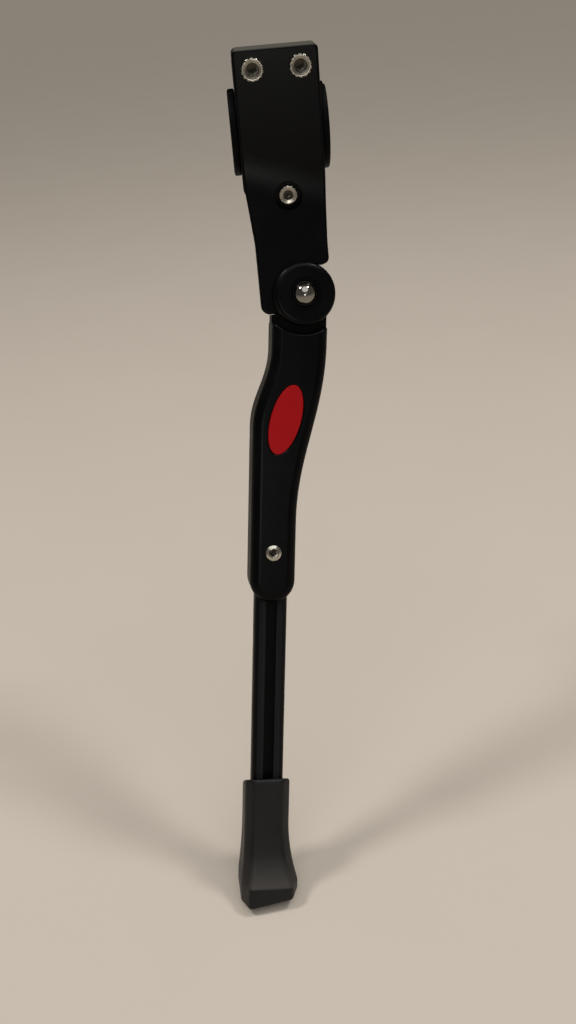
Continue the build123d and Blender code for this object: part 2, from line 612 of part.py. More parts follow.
# Foot: a rubber boot with a flat front panel that flares out to a crease, cut off along a slanting sole
collar_half = TUBE_WIDTH / 2 + FOOT_WALL
collar_front = TUBE_DEPTH / 2 + FOOT_WALL
rim_point = TUBE.from_local_coords(Vector(0, collar_front, FOOT_RIM))
rim_normal = TUBE.z_dir + TUBE.y_dir * tan(radians(FOOT_RIM_SLOPE))
RIM = Plane(origin=rim_point, x_dir=TUBE.x_dir, z_dir=rim_normal)
sole_point = TUBE.from_local_coords(Vector(0, 0, SOLE_DROP))
sole_normal = TUBE.z_dir + TUBE.x_dir * tan(radians(SOLE_TILT)) - TUBE.y_dir * tan(radians(SOLE_LEAN))
SOLE = Plane(origin=sole_point, z_dir=sole_normal)


def foot_section(drop, share):
    """Give the foot's outline across the leg, from the collar at share 0 to the crease at share 1."""
    toe = collar_half + FOOT_FLARE_TOE * share
    heel = collar_half + FOOT_FLARE_HEEL * share
    front = collar_front + FOOT_FLARE_FRONT * share
    back = collar_front + FOOT_FLARE_BACK * share
    cut_across = FOOT_COLLAR_CUT + (FOOT_CREASE_CUT - FOOT_COLLAR_CUT) * share
    cut_depth = FOOT_COLLAR_CUT + (FOOT_CREASE_CUT_DEPTH - FOOT_COLLAR_CUT) * share
    with BuildSketch(TUBE.offset(drop)) as section:
        with BuildLine():
            Polyline(
                (-toe, -back),
                (-toe, front - cut_depth),
                (-toe + cut_across, front),
                (heel - cut_across, front),
                (heel, front - cut_depth),
                (heel, -back),
                close=True,
            )
        make_face()
        corner = FOOT_COLLAR_ROUND + (FOOT_CREASE_ROUND - FOOT_COLLAR_ROUND) * share
        fillet(section.vertices(), radius=corner)
    return section.sketch


waist = foot_section(FOOT_WAIST, 0)
crease = foot_section(FOOT_CREASE, 1)

with BuildPart() as foot:
    extrude(foot_section(FOOT_RIM, 0), amount=FOOT_WAIST - FOOT_RIM)
    loft([waist, foot_section(FOOT_FLARE_MIDDLE, FOOT_FLARE_SHARE), crease])
    extrude(crease, amount=SOLE_DROP)
    split(bisect_by=SOLE, keep=Keep.BOTTOM)
    split(bisect_by=RIM, keep=Keep.TOP)
    foot_ends = foot.faces().filter_by(SOLE) + foot.faces().filter_by(RIM)
    fillet(foot_ends.edges(), radius=FOOT_EDGE_RADIUS)
    with BuildSketch(TUBE.offset(FOOT_RIM)):
        RectangleRounded(
            TUBE_WIDTH + 2 * FOOT_CLEARANCE, TUBE_DEPTH + 2 * FOOT_CLEARANCE,
            TUBE_CORNER_RADIUS + FOOT_CLEARANCE,
        )
    extrude(amount=TUBE_END + FOOT_CLEARANCE - FOOT_RIM, mode=Mode.SUBTRACT)
foot.part.label = "foot"

os.makedirs("parts", exist_ok=True)
for piece in (
    bracket, rear_jaw, front_pad, rear_pad, *clamp_bolts.values(), *clamp_nuts.values(),
    lower_bolt, lower_nut, pivot_pin, pivot_washer, thrust_washer_front, thrust_washer_rear,
    detent_plunger, detent_spring, upper_leg, oval_badge, lock_screw, lower_leg, foot,
):
    export_step(piece.part, "parts/" + piece.part.label + ".step")
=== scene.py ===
"""Dresses a packed bicycle kickstand: cut screws, finishes, soft rubber and a pale stage.

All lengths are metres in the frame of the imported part: X along the chainstay, -Y away from
the bicycle, Z up.
"""

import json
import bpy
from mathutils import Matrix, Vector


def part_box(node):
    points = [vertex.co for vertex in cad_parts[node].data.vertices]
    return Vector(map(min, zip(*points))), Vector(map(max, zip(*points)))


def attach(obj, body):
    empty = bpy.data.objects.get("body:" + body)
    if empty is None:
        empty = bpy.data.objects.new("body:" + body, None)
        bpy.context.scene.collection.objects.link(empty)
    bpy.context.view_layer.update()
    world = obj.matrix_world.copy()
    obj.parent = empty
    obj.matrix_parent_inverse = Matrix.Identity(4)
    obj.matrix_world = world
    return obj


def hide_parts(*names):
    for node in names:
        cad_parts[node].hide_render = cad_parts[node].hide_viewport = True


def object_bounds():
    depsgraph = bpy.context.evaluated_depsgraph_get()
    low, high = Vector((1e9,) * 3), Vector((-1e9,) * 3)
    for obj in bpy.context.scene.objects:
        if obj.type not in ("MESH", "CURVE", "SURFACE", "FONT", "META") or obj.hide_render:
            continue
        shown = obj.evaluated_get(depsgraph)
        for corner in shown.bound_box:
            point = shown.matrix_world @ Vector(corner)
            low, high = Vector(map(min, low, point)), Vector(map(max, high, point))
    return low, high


bl_info = {
    "name": "Kickstand dressing",
    "version": (1, 0, 0),
    "blender": (4, 5, 0),
    "location": "View3D > Sidebar > Kickstand",
    "description": "Finishes and screws for a clamp-on bicycle kickstand",
    "category": "Object",
}

from math import atan2, ceil, cos, pi, radians, sin, sqrt

import bmesh
import bpy
from bpy.props import FloatProperty, FloatVectorProperty, IntProperty, PointerProperty
from mathutils import Matrix, Vector

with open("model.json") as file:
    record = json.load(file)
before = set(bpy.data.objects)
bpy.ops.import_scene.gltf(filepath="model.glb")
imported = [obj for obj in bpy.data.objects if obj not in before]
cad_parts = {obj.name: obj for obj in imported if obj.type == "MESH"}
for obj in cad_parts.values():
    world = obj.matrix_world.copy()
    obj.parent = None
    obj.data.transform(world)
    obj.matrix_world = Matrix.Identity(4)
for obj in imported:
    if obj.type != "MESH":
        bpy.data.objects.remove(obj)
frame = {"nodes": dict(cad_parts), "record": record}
CAD_BOX = [list(corner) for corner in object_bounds()]
JOINTS = {joint["name"]: joint for joint in frame["record"]["behaviour"]["joints"]}
LEG_UP = Vector(JOINTS["leg_height"]["axis"]).normalized()
PIVOT_AXIS = Vector(JOINTS["leg_fold"]["axis"]).normalized()
PIVOT = Vector(JOINTS["leg_fold"]["pos_m"])
UPWARDS = Vector((0, 0, 1))
MM = 0.001

MERGE = 0.001 * MM  # corners closer than this become one
SLIVER = 0.01 * MM  # edges shorter than this are dissolved, and places this near agree
ON_CUT = 1e-7  # corners this near a cutting plane lie on it
SMOOTH_ANGLE = radians(32)  # edges flatter than this are shaded smooth
THREAD_DEPTH = 0.61  # depth of a thread by its pitch
THREAD_STEPS = 36  # faces round one turn of a thread
THREAD_IN_HEAD = 0.3 * MM  # how far a shank reaches into its head
CROWN_SIDES = 64  # faces round the lock screw
CROWN_RINGS = 8  # rings of its crowned face


def linear(code):
    """Turn an sRGB hex value into linear colour with full alpha."""
    levels = [int(code[place:place + 2], 16) / 255 for place in (1, 3, 5)]
    return [v / 12.92 if v <= 0.04045 else ((v + 0.055) / 1.055) ** 2.4 for v in levels] + [1.0]


def per_metre(size_mm):
    """Give the texture scale whose features are about this many millimetres across."""
    return 1 / (size_mm * MM)


def add_node(material, kind, inputs=None, **settings):
    """Add one node, with its settings, and with its inputs set to values or linked to outputs."""
    node = material.node_tree.nodes.new(kind)
    for key, value in settings.items():
        setattr(node, key, value)
    for key, value in (inputs or {}).items():
        if isinstance(value, bpy.types.NodeSocket):
            material.node_tree.links.new(value, node.inputs[key])
        else:
            node.inputs[key].default_value = value
    return node


def new_material(name):
    """Start an empty material and give it with its Object coordinates."""
    material = bpy.data.materials.new(name)
    material.use_nodes = True
    material.node_tree.nodes.clear()
    return material, add_node(material, "ShaderNodeTexCoord").outputs["Object"]


def close_material(material, **sockets):
    """Add the surface shader, whose sockets are named with underscores, and the output."""
    inputs = {name.replace("_", " "): value for name, value in sockets.items()}
    shader = add_node(material, "ShaderNodeBsdfPrincipled", inputs)
    add_node(material, "ShaderNodeOutputMaterial", {"Surface": shader.outputs["BSDF"]})
    return material


def powder_coat(look):
    """Powder-coated cast aluminium, sprayed and baked.

    It is deep black under a thin shiny skin with orange peel.
    """
    material, place = new_material("powder_coated_casting")
    peel = add_node(material, "ShaderNodeTexNoise", {
        "Vector": place, "Scale": per_metre(1.1), "Detail": 3.0,
    })
    dust = add_node(material, "ShaderNodeTexNoise", {
        "Vector": place, "Scale": per_metre(14), "Detail": 4.0,
    })
    share = add_node(material, "ShaderNodeMapRange", {
        "Value": dust.outputs["Fac"], "From Min": 0.42, "From Max": 0.75,
    })
    # Thin dust lifts the black a little and takes the gloss off in patches.
    tint = add_node(material, "ShaderNodeMix", {
        0: share.outputs[0], 6: look.coat_colour, 7: look.coat_dust,
    }, data_type="RGBA")
    # Painted reflection: the clamp's flat top face is painted as a pale strip, for the light it
    # reflects.
    height = add_node(material, "ShaderNodeSeparateXYZ", {"Vector": place})
    top = CAD_BOX[1][2]
    painted_reflection_share = add_node(material, "ShaderNodeMapRange", {
        "Value": height.outputs["Z"], "From Min": top - 0.5 * MM, "From Max": top - 0.1 * MM,
    })
    tint = add_node(material, "ShaderNodeMix", {
        0: painted_reflection_share.outputs[0], 6: tint.outputs[2], 7: look.top_reflection_paint,
    }, data_type="RGBA")
    gloss = add_node(material, "ShaderNodeMapRange", {
        "Value": dust.outputs["Fac"], "From Min": 0.35, "From Max": 0.7,
        "To Min": 0.4, "To Max": 0.55,
    })
    bump = add_node(material, "ShaderNodeBump", {
        "Height": peel.outputs["Fac"], "Strength": 0.14, "Distance": 0.05 * MM,
    })
    return close_material(
        material, Base_Color=tint.outputs[2], Roughness=gloss.outputs[0],
        Specular_IOR_Level=0.01, Coat_Weight=look.coat_shine, Coat_Roughness=0.26,
        Normal=bump.outputs["Normal"],
    )


def anodised_tube(look):
    """Black anodised aluminium extrusion.

    It has fine draw lines. Its front flats are painted greyer as a sheen, and its groove and
    sides darker as shade.
    """
    material, place = new_material("anodised_extrusion")
    upright = add_node(material, "ShaderNodeMapping", {
        "Vector": place, "Rotation": LEG_UP.rotation_difference(UPWARDS).to_euler(),
    })
    drawn = add_node(material, "ShaderNodeMapping", {
        "Vector": upright.outputs[0], "Scale": (1, 1, 0.01),
    })
    lines = add_node(material, "ShaderNodeTexNoise", {
        "Vector": drawn.outputs[0], "Scale": per_metre(0.5), "Detail": 2.0,
    })
    smudge = add_node(material, "ShaderNodeTexNoise", {
        "Vector": place, "Scale": per_metre(11), "Detail": 3.0,
    })
    share = add_node(material, "ShaderNodeMapRange", {
        "Value": lines.outputs["Fac"], "From Min": 0.35, "From Max": 0.7,
    })
    flats = add_node(material, "ShaderNodeMix", {
        0: share.outputs[0], 6: look.tube_colour, 7: look.tube_line,
    }, data_type="RGBA")
    # Painted sheen and shade: the flats, the foremost skin of the leg, are painted greyer, and
    # the groove and sides, which lie behind it, darker.
    depth = add_node(material, "ShaderNodeVectorMath", {
        0: place, 1: PIVOT_AXIS,
    }, operation="DOT_PRODUCT")
    front = max(
        corner.co.dot(PIVOT_AXIS) for corner in frame["nodes"]["lower_leg"].data.vertices
    )
    painted_sheen_share = add_node(material, "ShaderNodeMapRange", {
        "Value": depth.outputs["Value"],
        "From Min": front - 0.9 * MM, "From Max": front - 0.3 * MM,
    })
    tint = add_node(material, "ShaderNodeMix", {
        0: painted_sheen_share.outputs[0], 6: look.groove_painted_shade, 7: flats.outputs[2],
    }, data_type="RGBA")
    gloss = add_node(material, "ShaderNodeMapRange", {
        "Value": smudge.outputs["Fac"], "From Min": 0.35, "From Max": 0.7,
        "To Min": 0.34, "To Max": 0.46,
    })
    bump = add_node(material, "ShaderNodeBump", {
        "Height": lines.outputs["Fac"], "Strength": 0.1, "Distance": 0.03 * MM,
    })
    return close_material(
        material, Base_Color=tint.outputs[2], Roughness=gloss.outputs[0],
        Specular_IOR_Level=0.06, Normal=bump.outputs["Normal"],
    )


def zinc_plate(name, colour, cloudy):
    """Zinc-plated steel, barrel plated: a shiny metal that is slightly clouded."""
    material, place = new_material(name)
    cloud = add_node(material, "ShaderNodeTexNoise", {
        "Vector": place, "Scale": per_metre(2.2), "Detail": 3.0,
    })
    share = add_node(material, "ShaderNodeMapRange", {
        "Value": cloud.outputs["Fac"], "From Min": 0.35, "From Max": 0.7,
    })
    tint = add_node(material, "ShaderNodeMix", {
        0: share.outputs[0], 6: colour, 7: cloudy,
    }, data_type="RGBA")
    gloss = add_node(material, "ShaderNodeMapRange", {
        "Value": cloud.outputs["Fac"], "From Min": 0.35, "From Max": 0.7,
        "To Min": 0.16, "To Max": 0.28,
    })
    return close_material(
        material, Base_Color=tint.outputs[2], Metallic=1.0, Roughness=gloss.outputs[0]
    )


def chrome_plate(look):
    """Polished chrome plate: nearly a mirror, with a faint haze."""
    material, place = new_material("polished_chrome")
    haze = add_node(material, "ShaderNodeTexNoise", {
        "Vector": place, "Scale": per_metre(1.6), "Detail": 2.0,
    })
    gloss = add_node(material, "ShaderNodeMapRange", {
        "Value": haze.outputs["Fac"], "From Min": 0.4, "From Max": 0.7,
        "To Min": 0.05, "To Max": 0.11,
    })
    # Painted shade: only the dome is chrome, and its thin flange is painted as black as the boss
    # round it.
    arm = add_node(material, "ShaderNodeVectorMath", {0: place, 1: PIVOT}, operation="SUBTRACT")
    across = add_node(material, "ShaderNodeVectorMath", {
        0: arm.outputs["Vector"], 1: PIVOT_AXIS,
    }, operation="CROSS_PRODUCT")
    reach = add_node(material, "ShaderNodeVectorMath", {
        0: across.outputs["Vector"],
    }, operation="LENGTH")
    painted_shade_ring = add_node(material, "ShaderNodeMapRange", {
        "Value": reach.outputs["Value"],
        "From Min": look.dome_radius, "From Max": look.dome_radius + 0.1 * MM,
    })
    tint = add_node(material, "ShaderNodeMix", {
        0: painted_shade_ring.outputs[0], 6: look.chrome_colour, 7: look.coat_colour,
    }, data_type="RGBA")
    return close_material(
        material, Base_Color=tint.outputs[2], Metallic=1.0, Roughness=gloss.outputs[0]
    )


def moulded_rubber(name, colour, dusty, grain_mm, shine, ledge=(), ledge_sheen_colour=None):
    """Moulded rubber from a spark-eroded mould.

    It has a fine matt grain, and is greyer where dust sits in it. A ledge is painted paler
    still, as a sheen; it is a list of limits, each an axis with the places on it where the ledge
    starts and is full.
    """
    material, place = new_material(name)
    grain = add_node(material, "ShaderNodeTexNoise", {
        "Vector": place, "Scale": per_metre(grain_mm), "Detail": 2.0,
    })
    dust = add_node(material, "ShaderNodeTexNoise", {
        "Vector": place, "Scale": per_metre(9), "Detail": 5.0, "Roughness": 0.65,
    })
    share = add_node(material, "ShaderNodeMapRange", {
        "Value": dust.outputs["Fac"], "From Min": 0.4, "From Max": 0.72,
    })
    tint = add_node(material, "ShaderNodeMix", {
        0: share.outputs[0], 6: colour, 7: dusty,
    }, data_type="RGBA")
    on_ledge = 1.0
    for axis, start, full in ledge:
        along = add_node(material, "ShaderNodeVectorMath", {
            0: place, 1: axis,
        }, operation="DOT_PRODUCT")
        limit = add_node(material, "ShaderNodeMapRange", {
            "Value": along.outputs["Value"], "From Min": start, "From Max": full,
        })
        on_ledge = add_node(material, "ShaderNodeMath", {
            0: limit.outputs[0], 1: on_ledge,
        }, operation="MULTIPLY").outputs[0]
    if ledge:
        tint = add_node(material, "ShaderNodeMix", {
            0: on_ledge, 6: tint.outputs[2], 7: ledge_sheen_colour,
        }, data_type="RGBA")
    gloss = add_node(material, "ShaderNodeMapRange", {
        "Value": dust.outputs["Fac"], "From Min": 0.35, "From Max": 0.7,
        "To Min": 0.42, "To Max": 0.54,
    })
    bump = add_node(material, "ShaderNodeBump", {
        "Height": grain.outputs["Fac"], "Strength": 0.35, "Distance": 0.08 * MM,
    })
    return close_material(
        material, Base_Color=tint.outputs[2], Roughness=gloss.outputs[0],
        Specular_IOR_Level=shine, Normal=bump.outputs["Normal"],
    )


def red_plastic(look):
    """Red ABS under a thin lacquer: an even, saturated colour with a soft shine."""
    material, place = new_material("red_lacquered_abs")
    mottle = add_node(material, "ShaderNodeTexNoise", {
        "Vector": place, "Scale": per_metre(3), "Detail": 3.0,
    })
    fine = add_node(material, "ShaderNodeTexNoise", {
        "Vector": place, "Scale": per_metre(0.5), "Detail": 1.0,
    })
    tint = add_node(material, "ShaderNodeMix", {
        0: mottle.outputs["Fac"], 6: look.red_colour, 7: look.red_mottle,
    }, data_type="RGBA")
    bump = add_node(material, "ShaderNodeBump", {
        "Height": fine.outputs["Fac"], "Strength": 0.06, "Distance": 0.03 * MM,
    })
    return close_material(
        material, Base_Color=tint.outputs[2], Roughness=0.35, Specular_IOR_Level=0.1,
        Normal=bump.outputs["Normal"],
    )


def natural_nylon(look):
    """Natural nylon, stamped from sheet: milky, with a soft waxy sheen."""
    material, place = new_material("natural_nylon")
    milk = add_node(material, "ShaderNodeTexNoise", {
        "Vector": place, "Scale": per_metre(2), "Detail": 2.0,
    })
    tint = add_node(material, "ShaderNodeMix", {
        0: milk.outputs["Fac"], 6: look.nylon_colour, 7: look.nylon_milk,
    }, data_type="RGBA")
    return close_material(material, Base_Color=tint.outputs[2], Roughness=0.45)


def matt_floor(look):
    """Matt painted board: pale, with broad faint clouds."""
    material, place = new_material("matt_floor")
    tone = add_node(material, "ShaderNodeTexNoise", {
        "Vector": place, "Scale": per_metre(120), "Detail": 2.0,
    })
    tint = add_node(material, "ShaderNodeMix", {
        0: tone.outputs["Fac"], 6: look.floor_colour, 7: look.floor_cloud,
    }, data_type="RGBA")
    return close_material(
        material, Base_Color=tint.outputs[2], Roughness=0.9, Specular_IOR_Level=0.2
    )


def colour_choice(name, description, code):
    """Give a colour property whose default is an sRGB hex value."""
    return FloatVectorProperty(
        name=name, description=description, default=linear(code), size=4, subtype="COLOR",
        min=0, max=1,
    )


def length_choice(name, description, default_mm):
    """Give a length property whose default is in millimetres."""
    return FloatProperty(
        name=name, description=description, default=default_mm * MM, unit="LENGTH", precision=5
    )


def angle_choice(name, description, degrees):
    """Give an angle property whose default is in degrees."""
    return FloatProperty(
        name=name, description=description, default=radians(degrees), subtype="ANGLE"
    )


def place_choice(name, description, default):
    """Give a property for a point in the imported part's frame."""
    return FloatVectorProperty(
        name=name, description=description, size=3, default=default, subtype="TRANSLATION"
    )


class KickstandLook(bpy.types.PropertyGroup):
    """Colours of the finishes."""

    coat_colour: colour_choice("Coat", "Powder coat of the castings", "#040405")
    coat_dust: colour_choice("Coat dust", "Powder coat where dust dulls it", "#08080A")
    # Painted reflection: the pale strip on the clamp's flat top face.
    top_reflection_paint: colour_choice("Top reflection", "Painted reflection on the clamp's flat top", "#4E4D46")
    coat_shine: FloatProperty(
        name="Coat shine", description="Powder coat's shiny skin", default=0.16
    )
    tube_colour: colour_choice("Tube", "Front flats of the anodised lower leg, with painted sheen", "#18181A")
    tube_line: colour_choice("Tube lines", "Draw lines of the lower leg", "#202022")
    # Painted shade: the groove and sides are darker than the flats.
    groove_painted_shade: colour_choice("Groove", "Painted shade in the lower leg's groove and sides", "#060607")
    zinc_colour: colour_choice("Zinc", "Bright zinc plate", "#C9C5BA")
    zinc_cloud: colour_choice("Zinc clouds", "Clouded bright zinc plate", "#AEAA9F")
    screw_colour: colour_choice("Screws", "Cap screws' zinc, darker than the bright plate", "#A29E92")
    screw_cloud: colour_choice("Screw clouds", "Clouds of the cap screws", "#86827A")
    # Painted shade: the dark zinc in the screws' sockets.
    socket_shade_colour: colour_choice("Socket shade", "Painted shade in the screws' sockets", "#47443D")
    socket_shade_cloud: colour_choice("Socket shade clouds", "Clouds of those sockets", "#33312C")
    chrome_colour: colour_choice("Chrome", "Chrome of the pin's dome", "#8B8882")
    # Painted shade: beyond this radius the pin's head is painted black.
    dome_radius: length_choice("Dome radius", "Chrome part of the pin's head, with painted shade beyond it", 4.6)
    foot_colour: colour_choice("Foot", "Rubber foot", "#08080A")
    foot_dust: colour_choice("Foot dust", "Dusty rubber foot", "#101012")
    # Painted sheen on the foot's front slope.
    ledge_sheen: colour_choice("Ledge sheen", "Painted sheen on the slope above the tread", "#383532")
    pad_colour: colour_choice("Pads", "Rubber clamp pads", "#060607")
    pad_dust: colour_choice("Pad dust", "Dusty clamp pads", "#0C0C0D")
    red_colour: colour_choice("Red", "Oval on the upper leg", "#980A10")
    red_mottle: colour_choice("Red mottle", "Oval's slight mottle", "#A00C13")
    nylon_colour: colour_choice("Nylon", "Thrust washers", "#D8D2C2")
    nylon_milk: colour_choice("Nylon milk", "Milky places of the washers", "#E6E1D4")
    floor_colour: colour_choice("Floor", "Pale floor", "#D0C6BA")
    floor_cloud: colour_choice("Floor clouds", "Faint clouds of the floor", "#CCC2B6")


class KickstandScrews(bpy.types.PropertyGroup):
    """Sizes of the socket cap screws and of the lock screw."""

    clamp_head_radius: length_choice("Clamp head radius", "Head of a clamp screw", 4.25)
    clamp_head_height: length_choice("Clamp head height", "Head of a clamp screw", 5.0)
    clamp_thread_radius: length_choice("Clamp thread radius", "Clamp screw's thread", 2.5)
    clamp_pitch: length_choice("Clamp pitch", "Pitch of a clamp screw's thread", 0.8)
    clamp_flats: length_choice("Clamp socket", "Across flats of a clamp screw's socket", 4.0)
    lower_head_radius: length_choice("Lower head radius", "Head of the lower screw", 3.8)
    lower_head_height: length_choice("Lower head height", "Head of the lower screw", 3.2)
    lower_thread_radius: length_choice("Lower thread radius", "Lower screw's thread", 2.0)
    lower_pitch: length_choice("Lower pitch", "Pitch of the lower screw's thread", 0.7)
    lower_flats: length_choice("Lower socket", "Across flats of the lower screw's socket", 3.0)
    socket_share: FloatProperty(
        name="Socket share", description="Socket's share of a head's height", default=0.62
    )
    rim_round: length_choice("Rim rounding", "Rounding of the heads' upper rims", 0.5)
    dish_depth: length_choice("Dish depth", "Depth of the heads' dished faces", 0.3)
    knurl_depth: length_choice("Knurl depth", "Depth of the heads' knurling", 0.4)
    knurl_teeth: IntProperty(
        name="Knurl teeth", description="Teeth round a head", default=14, min=12
    )
    lock_radius: length_choice("Lock radius", "Lock screw's round face", 3.6)
    lock_crown: length_choice("Lock crown", "Height of the lock screw's crowned face", 0.9)
    lock_tip_radius: length_choice("Lock tip radius", "Lock screw's narrow tip", 2.1)
    lock_tip_length: length_choice("Lock tip length", "Lock screw's narrow tip", 2.2)
    lock_flats: length_choice("Lock socket", "Across flats of the lock screw's socket", 4.0)
    lock_socket_depth: length_choice("Lock socket depth", "Lock screw's socket", 2.5)


class KickstandRubber(bpy.types.PropertyGroup):
    """Softness of the rubber foot and pads, and the slope on which the foot's painted sheen lies.
    """

    mesh_size: length_choice("Mesh size", "Spacing of the rubber's mesh", 0.45)
    foot_ease: IntProperty(
        name="Foot ease", description="Steps that round the foot's edges", default=14, min=0
    )
    pad_ease: IntProperty(
        name="Pad ease", description="Steps that round the pads' edges", default=4, min=0
    )
    slope_rate: FloatProperty(
        name="Slope rate", description="Front slope's rise against its height", default=0.321
    )
    ledge_height: length_choice("Ledge height", "Part of the front slope with painted sheen", 14)


class KickstandStage(bpy.types.PropertyGroup):
    """Camera, lamps and floor."""

    azimuth: angle_choice("Azimuth", "Camera round the stand", -1.22)
    elevation: angle_choice("Elevation", "Camera above the horizon", 28.37)
    roll: angle_choice("Roll", "Camera about its own axis", 5.07)
    distance: length_choice("Distance", "Camera to its target", 420)
    target: place_choice(
        "Target", "Point in the middle of the picture", (-0.01136, -0.07403, -0.13454)
    )
    focal_pixels: FloatProperty(
        name="Focal length", description="In pixels of the picture", default=1050.0
    )
    long_side: IntProperty(
        name="Long side", description="Pixels on the picture's long side", default=1024
    )
    floor_radius: length_choice("Floor radius", "Round floor", 20000)
    lamp_colour: FloatVectorProperty(
        name="Lamp colour", description="Light of the square lamps", size=3,
        default=(1.0, 0.98, 0.94), subtype="COLOR", min=0, max=1,
    )
    lamp_power: FloatProperty(
        name="Lamp power", description="Overhead lamps together", default=16.0, subtype="POWER"
    )
    lamp_place: place_choice(
        "Lamp place", "Right overhead lamp, which the left one mirrors", (0.75, -0.1, 1.2)
    )
    lamp_size: length_choice("Lamp size", "Side of an overhead lamp", 260)
    window_power: FloatProperty(
        name="Window power", description="Low lamp", default=1.1, subtype="POWER"
    )
    window_place: place_choice("Window place", "Low lamp", (0.02, -1.4, 0.07))
    window_aim: place_choice("Window aim", "Point that the low lamp faces", (0, -0.02, -0.03))
    window_size: length_choice("Window size", "Side of the low lamp", 250)
    broad_level: FloatProperty(
        name="Broad level", description="Broad soft light from the front", default=1.0
    )
    broad_from: FloatVectorProperty(
        name="Broad from", description="Direction that the broad light comes from", size=3,
        default=(0.09, -0.52, 0.85), subtype="DIRECTION",
    )
    broad_angle: angle_choice("Broad angle", "How wide the broad light's source looks", 55)
    room_colour: colour_choice("Room", "Light from all sides", "#C9C2B8")
    room_level: FloatProperty(
        name="Room level", description="Light from all sides", default=0.25
    )


def finish_nodes(material, *nodes):
    """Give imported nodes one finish."""
    for name in nodes:
        for slot in frame["nodes"][name].material_slots:
            slot.material = material


def pick(kind, test):
    """Select the vertices, edges or faces of the edited mesh that pass a test."""
    bpy.ops.mesh.select_mode(type=kind)
    bpy.ops.mesh.select_all(action="DESELECT")
    mesh = bmesh.from_edit_mesh(bpy.context.object.data)
    for part in {"VERT": mesh.verts, "EDGE": mesh.edges, "FACE": mesh.faces}[kind]:
        part.select_set(test(part))
    bmesh.update_edit_mesh(bpy.context.object.data)


def middle(part):
    """Give the middle of an edge or face."""
    return sum((corner.co for corner in part.verts), Vector()) / len(part.verts)


def apply_boolean(body, name, operation, other):
    """Cut another object from a body or join it to the body, and remove it."""
    change = body.modifiers.new(name, "BOOLEAN")
    change.operation = operation
    change.object = other
    change.solver = "EXACT"
    bpy.context.view_layer.objects.active = body
    bpy.ops.object.modifier_apply(modifier=change.name)
    bpy.data.objects.remove(other)


def give_finish(screw, finishes, in_socket):
    """Give a screw its bright finish, and the dark one, as painted shade, on the faces that pass
    a test.
    """
    for material in finishes:
        screw.data.materials.append(material)
    bpy.ops.object.mode_set(mode="EDIT")
    pick("FACE", in_socket)
    screw.active_material_index = 1
    bpy.ops.object.material_slot_assign()
    bpy.ops.object.mode_set(mode="OBJECT")


def hex_socket(body, flats, depth, top):
    """Cut a hexagon socket into a screw whose middle stands on the Z axis."""
    bpy.ops.object.select_all(action="DESELECT")
    bpy.ops.mesh.primitive_cylinder_add(
        vertices=6, radius=flats / sqrt(3), depth=2 * depth, location=(0, 0, top)
    )
    cutter = bpy.context.object
    bpy.ops.object.transform_apply(location=True, rotation=True, scale=True)
    bpy.ops.object.mode_set(mode="EDIT")
    # The socket's floor is the cone that the drill left.
    pick("FACE", lambda face: face.normal.z < -0.9)
    bpy.ops.mesh.inset(thickness=0.1 * flats)
    bpy.ops.mesh.extrude_region_move(TRANSFORM_OT_translate={"value": (0, 0, -0.2 * flats)})
    bpy.ops.transform.resize(value=(0.1, 0.1, 1), center_override=(0, 0, 0))
    bpy.ops.object.mode_set(mode="OBJECT")
    apply_boolean(body, "socket", "DIFFERENCE", cutter)


def knurled_head(radius, height, flats, sizes):
    """Model a screw head that stands on the XY plane.

    It has a rounded rim, a straight knurl, a dished face and a socket.
    """
    bpy.ops.object.select_all(action="DESELECT")
    bpy.ops.mesh.primitive_cylinder_add(
        vertices=4 * sizes.knurl_teeth, radius=radius, depth=height, location=(0, 0, height / 2)
    )
    head = bpy.context.object
    bpy.ops.object.transform_apply(location=True, rotation=True, scale=True)
    bpy.ops.object.mode_set(mode="EDIT")
    pick("EDGE", lambda edge: min(corner.co.z for corner in edge.verts) > height - SLIVER)
    bpy.ops.mesh.bevel(
        offset=sizes.rim_round, offset_type="OFFSET", segments=3, affect="EDGES"
    )
    # Every fourth upright is pressed in, over the rim too. Real teeth are too fine to show.
    quarter = pi / (2 * sizes.knurl_teeth)
    pick("VERT", lambda corner: (
        corner.co.xy.length > radius - 0.8 * sizes.rim_round
        and round(atan2(corner.co.y, corner.co.x) / quarter) % 4 == 0
    ))
    press = 1 - sizes.knurl_depth / radius
    bpy.ops.transform.resize(value=(press, press, 1), center_override=(0, 0, 0))
    pick("FACE", lambda face: face.normal.z > 0.99 and middle(face).z > height - SLIVER)
    # The flat land between rim and socket is dished, apart from a quarter at the rim.
    land = radius - sizes.rim_round - flats / sqrt(3)
    bpy.ops.mesh.inset(thickness=0.25 * land)
    bpy.ops.mesh.inset(thickness=0.6 * land, depth=-sizes.dish_depth)
    bpy.ops.object.mode_set(mode="OBJECT")
    hex_socket(head, flats, sizes.socket_share * height, height)
    return head


